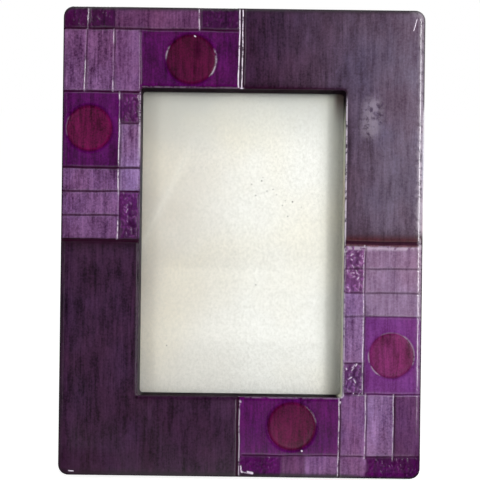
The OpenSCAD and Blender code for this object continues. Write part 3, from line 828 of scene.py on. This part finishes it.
def painted(points):
    """The two tones at each point: darker towards the edges, the window and the middle border, paler and
    bluer to the upper right with a painted glare, and a rim of painted shade.
    """
    x, z = points.T
    border = from_border(points)
    coats = coat("dark", len(points))
    # painted glare: the dark paint paler and bluer towards the right of the upper half, most at the
    # upper right edge
    glare = smooth(-4, 92, x) + 0.35 * smooth(68, 82, x) * smooth(20, 70, z)
    lay(coats, "glare_slate", glare * smooth(-12, 0, z))
    dimmed = 0.72 + 0.28 * smooth(0.5, 5, np.minimum(border, from_window(points)))
    dimmed *= 1 - 0.5 * within(0, 9, np.where(z > 0, z - 1, -1.6 * (z + 1)))
    coats *= np.c_[dimmed ** 0.8, dimmed, dimmed, np.ones(len(points))]
    # a dark red-brown band above the rust strip
    lay(coats, "tinge", 0.9 * smooth(0.2, 1.2, z) * within(2.4, 4.6, z) * smooth(46, 50, x))
    for area in AREAS:
        lay(coats, area.paint, covered(area, points))
    for disc_x, disc_z, radius, paint, _, _ in DISCS:
        lay(coats, paint, within(-0.5, 0.5, np.hypot(x - disc_x, z - disc_z) - radius))
    for area in PEBBLED_AREAS:
        here = covered(area, points)
        wash = PEBBLED[area.paint][1] * (smooth(0.05, 0.35, raised(points[here])) - 0.45)
        coats[:, here] *= 1 + wash[:, None]
    # the rim's dark outline, a painted shade, with a painted highlight along the upper right edge
    rim_shade_and_highlight = coat("outline", len(points))
    lay(rim_shade_and_highlight, "pale_edge_highlight", smooth(80, 83, x) * smooth(2, 8, z) * smooth(66, 60, z))
    reach = 1.5 + 1.6 * smooth(105, 108, z) + 2.6 * smooth(-105, -108, z) * (1 - 0.7 * smooth(50, 60, x))
    return mixed(coats, rim_shade_and_highlight, within(0.3 * reach, reach, border)[:, None])


def wall_coats(loop):
    """Window walls: dark glaze at the top and bottom; grey at the left and pale greenish at the right, a
    painted reflection of the paper.
    """
    x, z = loop.T
    side = smooth(-0.3, 0.3, np.abs(x) - WINDOW_W + WINDOW_R)
    side *= within(0.7 * WINDOW_H, 0.95 * WINDOW_H, z)
    coats = coat("wall", LOOP)
    lay(coats, "left_wall_reflection", side * (x <= 0))
    lay(coats, "right_wall_reflection", side * (x > 0))
    return coats


def body_profile():
    """Loops (half width, half height, radius, y, paint) from the face round the back into the window."""
    # the first ring behind the face keeps the rim's dark outline of painted shade
    steps = [(0, CORNER_R, -12.6, "outline")]
    steps += [(0, CORNER_R, y, "side") for y in (-11, -9, -7, -5, -3, -1.4)]
    for turn in np.radians([25, 50, 75, 90]):
        step = BACK_ROUND * (1 - math.cos(turn))
        steps.append((step, CORNER_R - step, -BACK_ROUND * (1 - math.sin(turn)), "side"))
    steps += [(step, HOLLOW_R, y, "back") for step, y in (
        (2.15, 0), (2.4, -0.08), (POCKET, -0.35), (POCKET, RIM_Y), (SKIRT, RIM_Y), (SKIRT, FACE_BACK_Y))]
    rows = [(HALF_W - step, HALF_H - step, *rest) for step, *rest in steps]
    rows += [(RIM_W, RIM_H, WINDOW_R, y, "back") for y in (FACE_BACK_Y, RIM_Y)]
    rows += [(SEAT_W, SEAT_H, WINDOW_R, y, paint) for y, paint in ((RIM_Y, "back"), (SEAT_Y, "wall"))]
    return rows + [(WINDOW_W, WINDOW_H, WINDOW_R, y, "wall") for y in (SEAT_Y, -9, -11, -13, -14.4)]


def ceramic_shell():
    """The whole glazed body as one closed mesh: relief face, sides, window walls and hollow back."""
    corners, faces, place = triangles(face_points())
    height, pool_and_shade, gloss, wear_and_highlight = carve(corners)
    points = [np.c_[corners[:, 0], FACE_Y - height, corners[:, 1] + MIDDLE_Z]]
    coats, traits = [painted(corners)], [np.c_[pool_and_shade, gloss, wear_and_highlight]]
    loops = [[place[i] for i in range(LOOP)]]
    for half_w, half_h, radius, y, paint in body_profile():
        loop = loop_of(half_w, half_h, radius)
        start = len(corners) + LOOP * (len(loops) - 1)
        loops.append(list(range(start, start + LOOP)))
        points.append(at_depth(loop, y, MIDDLE_Z))
        coats.append(wall_coats(loop) if paint == "wall" else coat(paint, LOOP))
        traits.append(np.tile((0, SIDE_GLOSS * (WALL_GLOSS if paint == "wall" else 1), 0), (LOOP, 1)))
    loops.append([place[i] for i in range(LOOP, 2 * LOOP)])

    quads = [tuple(int(i) for i in face) for face in faces] + bridges(loops)
    piece = mesh_piece("ceramic_shell", np.vstack(points), quads)
    for name, values in zip(("paint_low", "paint_high"), np.concatenate(coats, axis=1)):
        carry(piece, name, values, "FLOAT_COLOR")
    for name, values in zip(("pool_and_shade", "gloss", "wear_and_highlight"), np.vstack(traits).T):
        carry(piece, name, values)
    stand_in(piece, "ceramic_body", glaze_material())
    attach(piece, "frame")


# ---- finishes of the CAD's own pieces


def glass_material():
    """Thin clear glass: mostly see-through, with the soft mirror of its surface."""
    g = Graph("clear_glass")
    clear = g.node("BsdfTransparent", {"Color": (0.996, 0.998, 0.995, 1)}).outputs[0]
    haze = g.spread(g.noise(0.03, detail=2), 0.35, 0.7, 0.03, 0.07)
    gloss = g.node("BsdfGlossy", {"Color": (1, 1, 1, 1), "Roughness": haze}).outputs[0]
    mirror = g.node("Fresnel", {"IOR": 1.45}).outputs[0]
    return g.finish(g.node("MixShader", {0: mirror, 1: clear, 2: gloss}).outputs[0])


# Where the paper's slanting sheen would meet the bottom edge, left of the middle, and its slant
SHEEN_AT, SHEEN_SLANT = 97.5, 0.48


def paper_material():
    """Blank matt paper with faint fibres: darker and warmer along its left edge, partly a warm fade and
    partly painted shade, greyer at the top with painted shade, with a painted shadow beside the window's
    right wall and a painted sheen.
    """
    g = Graph("blank_paper")
    fibre = g.noise(0.9, (1, 1, 0.7), 5, 0.7)
    cloud = g.noise(0.03)
    x, _, z = g.split(g.place((1 / MM, 1 / MM, 1 / MM)))
    left_fade_and_shade = g.spread(g.total((x, 1.0), (cloud, 30.0)), -32, 20, 0.85, 0)
    # painted shade towards the top, under the window's top wall
    high = g.spread(g.total((z, 1.0), (cloud, 24.0)), 160, 196, 0, 0.8)
    right_wall_shadow = g.spread(g.total((x, 1.0), (cloud, 6.0)), 39, 47)
    across = g.total((x, 1), (z, -SHEEN_SLANT), (g.noise(0.06), 3), (1, SHEEN_AT))
    sheen = g.times(g.spread(g.math("ABSOLUTE", across), 0, 5, 1, 0), g.spread(z, 172, 145))
    tinge, grit = g.noise(0.022, detail=2), g.noise(0.75, detail=4, rough=0.8)
    tint = g.layers(
        colour(247, 247, 243),
        # darker and warmer to the left: partly a warm fade of the paper, partly painted shade
        ((210, 201, 188), g.times(left_fade_and_shade, g.spread(z, 36, 90, 0.5, 1))),
        # painted shade at the top
        ((180, 183, 178), high),
        # painted shadow beside the window's right wall
        ((186, 186, 176), g.times(right_wall_shadow, g.spread(x, 45, 48, 0.62, 0.1))),
        ((252, 251, 246), g.times(g.times(sheen, sheen), 0.3)),
        ((246, 238, 214), g.spread(tinge, 0.45, 0.7, 0, 0.35)),
        ((196, 195, 188), g.spread(fibre, 0.42, 0.7, 0, 0.36)),
        ((206, 206, 198), g.spread(grit, 0.46, 0.62, 0, 0.3)),
        # the corner that the window's top right throws its shade on
        ((118, 96, 92), g.times(g.spread(x, 43, 45.5), g.spread(z, 165, 176, 0, 0.9))),
    )
    return g.principled(tint, 0.7, g.bump(fibre, 0.05, 0.3))


# Specks on the glass as (x, z, radius), about its middle
DUST = [
    (9.2, 29.9, 0.46), (4.4, 28.3, 0.34), (11.7, 25.2, 0.36), (14.6, 26, 0.32), (6.5, 23, 0.36),
    (24, 20.2, 0.46), (19.2, 18.3, 0.34), (21.9, 13.2, 0.34), (7, -20, 0.34), (9.7, 31.6, 0.24),
    (20.6, 20.7, 0.22), (16.3, 23.6, 0.22), (28.3, 17.7, 0.22), (-35.5, -49.5, 0.3),
]


def dust():
    """Six-sided specks of dirt on the glass, whose front lies on the seat."""
    points, faces = [], []
    for x, z, size in DUST:
        start = len(points)
        for k in range(6):
            turn = k * math.pi / 3 + x
            reach = size * (0.8 + 0.3 * math.sin(5 * turn + z))
            right, up = reach * math.cos(turn), reach * math.sin(turn)
            points.append((x + right, SEAT_Y - 0.01, MIDDLE_Z + z + up))
            this, following = start + k, start + (k + 1) % 6
            faces += [(this, following, start + 6), (following, this, start + 7)]
        points += [(x, SEAT_Y - 0.6 * size, MIDDLE_Z + z), (x, SEAT_Y - 0.005, MIDDLE_Z + z)]
    piece = mesh_piece("dust", points, faces)
    g = Graph("dirt")
    grit = g.noise(3, detail=2)
    dirt = g.principled(g.between((26, 20, 20), (66, 56, 52), grit), 0.9, g.bump(grit, 0.03))
    piece.data.materials.append(dirt)
    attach(piece, "frame")


def board_material(name, low, high, roughness):
    """Pressed board or card with short fibres."""
    g = Graph(name)
    fibre = g.noise(0.9, (1, 1, 0.5), 6, 0.7)
    part = g.spread(g.total((fibre, 1), (g.noise(0.08), 0.5)), 0.55, 0.95)
    return g.principled(g.between(low, high, part), roughness, g.bump(fibre, 0.08, 0.5))


def covered_board_material():
    """Board covered in grained black paper, with its brown core showing where the edges are rubbed."""
    g = Graph("black_paper_on_board")
    cells = {"Vector": g.place((1150, 1150, 1150)), "Scale": 1.0}
    pebble = g.node("TexVoronoi", cells, feature="SMOOTH_F1").outputs["Distance"]
    fine = g.noise(2.4, detail=4, rough=0.65)
    tone = g.total((pebble, 0.5), (fine, 0.25), (g.noise(0.05, detail=5, rough=0.6), 0.8))
    dusty = g.spread(g.noise(0.021, detail=6, rough=0.7), 0.5, 0.72, 0, 0.2)
    paper = g.between((17, 16, 18), (44, 41, 44), g.spread(tone, 0.45, 1.15))
    paper = g.layers(paper, ((96, 90, 86), dusty))
    core = g.between((70, 52, 38), (120, 94, 68), fine)
    broken = g.spread(g.noise(0.5, detail=5, rough=0.7), 0.5, 0.62, 0, 0.75)
    rubbed_and_highlight = g.times(g.attribute("edge"), broken, clamp=True)
    grained = g.bump(pebble, 0.09, 0.6, g.bump(fine, 0.03, 0.5))
    return g.principled(g.mix(paper, core, rubbed_and_highlight), g.spread(fine, 0.3, 0.7, 0.48, 0.7), grained,
                        {"Specular IOR Level": 0.35})


def metal_material(name, low, high, roughness):
    """Plated sheet metal with drawn lines, fine scratches and slightly duller patches."""
    g = Graph(name)
    drawn = g.noise(3.2, (0.05, 1, 1), 4, 0.6)
    scratch = g.noise(1.6, (1, 1, 0.05), 3, 0.7)
    dull = g.noise(0.12)
    speck = g.spread(g.noise(2, detail=2), 0.68, 0.76, 0, 0.5)
    part = g.spread(g.total((drawn, 0.35), (scratch, 0.25), (dull, 0.5)), 0.42, 0.68)
    tone = g.layers(g.between(low, high, part), ([int(0.55 * value) for value in low], speck))
    rough = g.total((scratch, 0.6), (dull, 0.8))
    rough = g.spread(rough, 0.45, 0.95, roughness - 0.08, roughness + 0.14)
    scored = g.bump(scratch, 0.01, 0.5, g.bump(drawn, 0.012, 0.6))
    return g.principled(tone, rough, scored, {"Metallic": 1.0})


# ---- boards, turn buttons and ribbon


def outline_of(node, matrix, step):
    """A convex plate's outline in its own upright frame, in steps, and its lowest and highest y."""
    local = local_points(node, matrix)
    flat = [Vector((x, z)) for x, _, z in local]
    hull = [np.array(flat[i]) for i in convex_hull_2d(flat)]
    before = hull[-1:] + hull[:-1]
    hull = [here for here, last in zip(hull, before) if np.linalg.norm(here - last) > 0.02]
    points = []
    for here, following in zip(hull, hull[1:] + hull[:1]):
        count = max(1, round(float(np.linalg.norm(following - here)) / step))
        points += [here + (following - here) * k / count for k in range(count)]
    area = sum(p[0] * q[1] - p[1] * q[0] for p, q in zip(points, points[1:] + points[:1]))
    return np.array(points if area > 0 else points[::-1]), local[:, 1].min(), local[:, 1].max()


def inset(outline, distance):
    """A counter-clockwise convex outline moved inwards."""
    before, after = np.roll(outline, 1, axis=0), np.roll(outline, -1, axis=0)

    def inward(reach):
        reach = reach / np.linalg.norm(reach, axis=1)[:, None]
        return np.c_[-reach[:, 1], reach[:, 0]]

    middle = inward(outline - before) + inward(after - outline)
    return outline + distance * 2 * middle / (middle * middle).sum(axis=1)[:, None]


def plate(name, node, body, material, matrix=STAND, rounding=0.4, dome=0.0, step=3.0):
    """A board or pressed plate in place of a CAD plate: rounded edges, and domed a little at the back.

    What would reach below the table is cut off level with it, as the leg's foot is."""
    outline, low, high = outline_of(node, matrix, step)
    middle, rim = outline.mean(axis=0), inset(outline, rounding)
    rounded = [(inset(outline, rounding * (1 - math.sin(turn))), rounding * (1 - math.cos(turn)))
               for turn in np.radians([0, 22.5, 45, 67.5, 90])]
    # each loop with its depth and with 1 where it lies on the edge
    loops = [(mixed(rim, middle, 0.03), low, 0)]
    loops += [(loop, low + rise, 1) for loop, rise in rounded]
    loops += [(loop, high - rise, 1) for loop, rise in reversed(rounded)]
    # a dome's last loop ends just short of its middle
    reach, shares = (0.999, (0.04, 0.3, 0.7, 1)) if dome else (1, (0.03,))
    for share in shares:
        loops.append((rim + (middle - rim) * share * reach, high + dome * (1 - (1 - share) ** 2), 0))
    points = np.vstack([at_depth(loop, y) for loop, y, _ in loops])
    below = np.array([min(0, (matrix @ Vector(p * MM)).z) / MM for p in points])
    points[:, 2] -= below / matrix.to_3x3().col[2].z
    piece = mesh_piece(name, points, tube(len(loops), len(outline)), matrix)
    carry(piece, "edge", np.repeat([edge for _, _, edge in loops], len(outline)))
    stand_in(piece, node, material)
    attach(piece, body)


# Stay ribbon: its tabs, how far it is woven, and how slantwise it passes from one body to the other
RIBBON_TAB, RIBBON_WIDTH, RIBBON_THICK = 9, 10, 0.28
RIBBON_RIB, RIBBON_RIB_HIGH, RIBBON_THREAD = 0.8, 0.05, 0.22
RIBBON_SLANT = 1.6

# How far behind the back plane its middle lies, on the board and where the leg is shut
RIBBON_SHUT = 0.2, 1.0


def ribbon_material():
    """Black ribbed ribbon: threads run along it between the ribs, finer than they are."""
    g = Graph("ribbed_ribbon")
    across, along, _ = g.split(g.attribute("cloth", "Vector"))
    thread = g.math("SINE", g.times(across, 2 * math.pi / RIBBON_THREAD))
    rib = g.math("COSINE", g.times(along, 2 * math.pi / RIBBON_RIB))
    weave = g.total((thread, 0.3), (rib, 0.3))
    fuzz = g.noise(6, rough=0.7)
    faded = g.spread(g.noise(0.16, detail=4), 0.4, 0.7, 0, 0.35)
    black = g.between((10, 10, 12), (52, 50, 56), g.spread(g.plus(weave, fuzz), -0.1, 1.1))
    woven = g.bump(g.total((weave, 1.0), (fuzz, 0.4)), 0.05, 0.6)
    return g.principled(g.layers(black, ((66, 60, 62), faded)), 0.7, woven,
                        {"Sheen Weight": 0.35, "Sheen Roughness": 0.4})


def ribbon_line():
    """The ribbon's middle line as y + z j: up the board, across to the leg in a slight S and up the leg.

    Each point keeps its distance from the hinge as the leg folds, so the S is the line that lies
    between board and leg when the leg is shut. Also gives the two points between which it passes
    from the frame to the leg."""
    hinge = complex(*(STAND.inverted() @ HINGE)[1:]) / MM
    fold = local_points("stay_ribbon")[:, 2].min() + RIBBON_TAB
    shut_low, shut_high = RIBBON_SHUT

    def opened(y, z, part):
        return hinge + (complex(y, z) - hinge) * cmath.exp(1j * part * OPEN)

    start, end = opened(shut_low, fold, 0), opened(shut_high, fold, 1)
    slanted = (end - start) * (1 + 1j * RIBBON_SLANT)
    slanted *= abs(end - start) ** 2 / abs(slanted) ** 2
    line = [complex(shut_low, fold - RIBBON_TAB)]
    for place in np.linspace(0, 1, 61):
        part = smooth(0, 1, place)
        y = shut_low + (shut_high - shut_low) * part
        base = opened(y, fold, part)
        rise = opened(y, fold + 1, part) - base
        line.append(base + rise * (place - ((base - start) / slanted).real) / (rise / slanted).real)
    line.append(opened(shut_high, fold + RIBBON_TAB, 1))
    return np.array(line), start, start + slanted


def ribbon():
    """Ribbed ribbon riveted to the board and the leg, which stops the leg from opening further."""
    line, start, end = ribbon_line()
    steps = np.r_[0, np.cumsum(np.abs(np.diff(line)))]
    length = steps[-1]
    along = np.linspace(0, length, int(length / RIBBON_RIB * 6) + 1)
    middle = np.interp(along, steps, line)
    for _ in range(6):
        middle[1:-1] = (middle[:-2] + 2 * middle[1:-1] + middle[2:]) / 4
    normal = -1j * np.gradient(middle)
    normal /= np.abs(normal)
    # round each section: across one side and back along the other
    shares = np.r_[np.linspace(-1, 1, 17), np.linspace(1, -1, 17)[1:-1]]
    sides = np.r_[np.ones(17), -np.ones(15)]
    points, cloth = [], []
    for k, place in enumerate(along):
        turn = 2 * math.pi * place / RIBBON_RIB
        for share, side in zip(shares, sides):
            thick = RIBBON_THICK / 2 + RIBBON_RIB_HIGH * math.cos(turn)
            selvedge = 0.04 * math.sin(turn) * (abs(share) == 1)
            here = middle[k] + side * thick * (1 - 0.8 * smooth(0.9, 1, abs(share))) * normal[k]
            points.append(((RIBBON_WIDTH / 2 + selvedge) * share, here.real, here.imag))
            cloth.append((RIBBON_WIDTH / 2 * share, place, 0))
    piece = mesh_piece("ribbon", points, tube(len(along), len(shares)))
    carry(piece, "cloth", cloth, "FLOAT_VECTOR")
    stand_in(piece, "stay_ribbon", ribbon_material())
    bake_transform(piece)


def back_pieces():
    """Finishes of the CAD's own pieces, and the rebuilt plates and ribbon."""
    for material, names in (
        (glass_material(), "glass_pane"),
        (paper_material(), "insert_sheet"),
        (board_material("grey_card", (150, 144, 132), (172, 166, 152), 0.85), "filler_card"),
        (board_material("fibreboard", (96, 68, 42), (140, 104, 68), 0.75), "back_ring"),
        (metal_material("brass_plate", (148, 114, 58), (204, 170, 104), 0.34),
         "hinge_board_leaf hinge_leg_leaf portrait_hanger landscape_hanger"),
        (metal_material("rivet_brass", (128, 96, 50), (180, 144, 84), 0.3),
         "board_leaf_rivets leg_leaf_rivets ribbon_board_rivet ribbon_leg_rivet hanger_nails"),
        (metal_material("screw_steel", (118, 118, 118), (170, 170, 170), 0.26),
         "hinge_pin turn_button_screws"),
    ):
        for name in names.split():
            nodes[name].data.materials.clear()
            nodes[name].data.materials.append(material)
    black = covered_board_material()
    plate("board_cover", "back_board", "frame", black)
    plate("leg_cover", "easel_leg", "leg", black, matrix=LEG)
    nickel = metal_material("nickel_plate", (142, 142, 141), (196, 196, 194), 0.3)
    for corner in ("upper_left", "upper_right", "lower_left", "lower_right"):
        name, node, body = corner + "_turn_button", "turn_button_" + corner, corner + "_button"
        plate(name, node, body, nickel, rounding=0.3, dome=0.25, step=0.8)
    ribbon()


# ---- floor, light and camera

# How bright the room behind the camera looks in the gloss, where the white background is 1
ROOM_LIGHT = 0.08

FACE_MIDDLE = STAND @ Vector((0, FACE_Y * MM, MIDDLE_Z * MM))


def floor():
    """A pale table that runs out to a white background and keeps the object's shadow."""
    g = Graph("pale_table")
    path = g.node("LightPath").outputs
    mirrored = g.times(g.mirrored(path), g.spread(g.split(g.place())[1], -0.3, 0, ROOM_LIGHT, 1))
    seen = g.plus(path["Is Camera Ray"], mirrored, clamp=True)
    pale = g.between((190, 190, 190), (196, 195, 193), g.noise(0.02))
    matt = g.node("BsdfDiffuse", {"Color": pale}).outputs[0]
    white = g.node("Emission", {"Color": (1, 1, 1, 1), "Strength": 0.8}).outputs[0]
    lit = g.node("AddShader", {0: matt, 1: white}).outputs[0]
    reach = 12 / MM
    corners = [(x * reach, y * reach, 0) for x, y in ((-1, -1), (1, -1), (1, 1), (-1, 1))]
    table = mesh_piece("table", corners, [(0, 1, 2, 3)], Matrix())
    table.data.materials.append(g.finish(g.node("MixShader", {0: seen, 1: matt, 2: lit}).outputs[0]))


def background(light):
    """White for the camera, glass and metal, but for the dim room in front; else an even pale light."""
    g = Graph("studio", bpy.data.worlds)
    bpy.context.scene.world = g.owner
    path = g.node("LightPath").outputs
    y = g.split(g.node("TexCoord").outputs["Generated"])[1]
    behind = g.math("MULTIPLY_ADD", y, 1.6, 1.1, clamp=True)
    shown = g.math("MULTIPLY_ADD", behind, 1 - ROOM_LIGHT, ROOM_LIGHT)
    strength = g.math("MULTIPLY_ADD", g.mirrored(path), g.math("SUBTRACT", shown, light), light)
    to_white = g.math("SUBTRACT", 1.0, strength)
    strength = g.math("MULTIPLY_ADD", path["Is Camera Ray"], to_white, strength)
    even = g.node("Background", {"Color": (1, 1, 1, 1), "Strength": strength}).outputs[0]
    g.node("OutputWorld", {"Surface": even})


def from_face(right, up, distance):
    """A point this many degrees to the right of and above the face's own line of sight, in metres."""
    a, e = math.radians(right), math.radians(up)
    ray = Vector((math.sin(a) * math.cos(e), -math.cos(a) * math.cos(e), math.sin(e)))
    return FACE_MIDDLE + STAND.to_3x3() @ ray * distance


def lamp(name, right, up, distance, size, watts, mirrored=True):
    """An area lamp turned to the middle of the face; metres and watts."""
    light = bpy.data.lights.new(name, "AREA")
    light.shape, light.size, light.size_y = "RECTANGLE", size[0], size[1]
    light.energy = watts
    made = placed(name, light)
    made.visible_glossy = mirrored
    made.location = from_face(right, up, distance)
    made.rotation_euler = (FACE_MIDDLE - made.location).to_track_quat("-Z", "Y").to_euler()


def camera():
    """Straight in front of the leaning face, with the photograph's width of view and slight roll.

    It stands low by as much as its shift makes up for. The last pixels bring the frame into place."""
    distance, view_width, low, roll = 0.32, 0.2239, 0.011, math.radians(0.74)
    photo_pixels, left, up = 480, 1.5, 2.6
    pixel = view_width / photo_pixels
    lens = bpy.data.cameras.new("camera")
    lens.sensor_width = 36
    lens.lens = lens.sensor_width * distance / view_width
    lens.shift_y = low / view_width
    made = placed("camera", lens)
    across = Vector((-left * pixel, 0, up * pixel - low))
    made.location = from_face(0, 0, distance) + STAND.to_3x3() @ across
    facing = STAND.to_3x3() @ Matrix.Rotation(math.pi / 2, 3, "X")
    made.rotation_euler = (facing @ Matrix.Rotation(roll, 3, "Z")).to_euler()
    bpy.context.scene.camera = made


def studio():
    """Table, background, five lamps and the camera."""
    bpy.context.scene.view_settings.view_transform = "Standard"
    floor()
    background(0.38)
    lamp("key", 23, 9, 0.7, (0.24, 0.22), 1.72, mirrored=False)
    lamp("fill", -35, 5, 0.9, (0.3, 0.3), 0.9, mirrored=False)
    lamp("strip", 38, 0, 1.0, (0.1, 1.0), 5.6)
    lamp("side", -40, 0, 1.0, (0.08, 0.9), 1.2)
    lamp("rear", 150, 40, 1.1, (0.5, 0.4), 3.0, mirrored=False)
    camera()


studio()
ceramic_shell()
back_pieces()
dust()
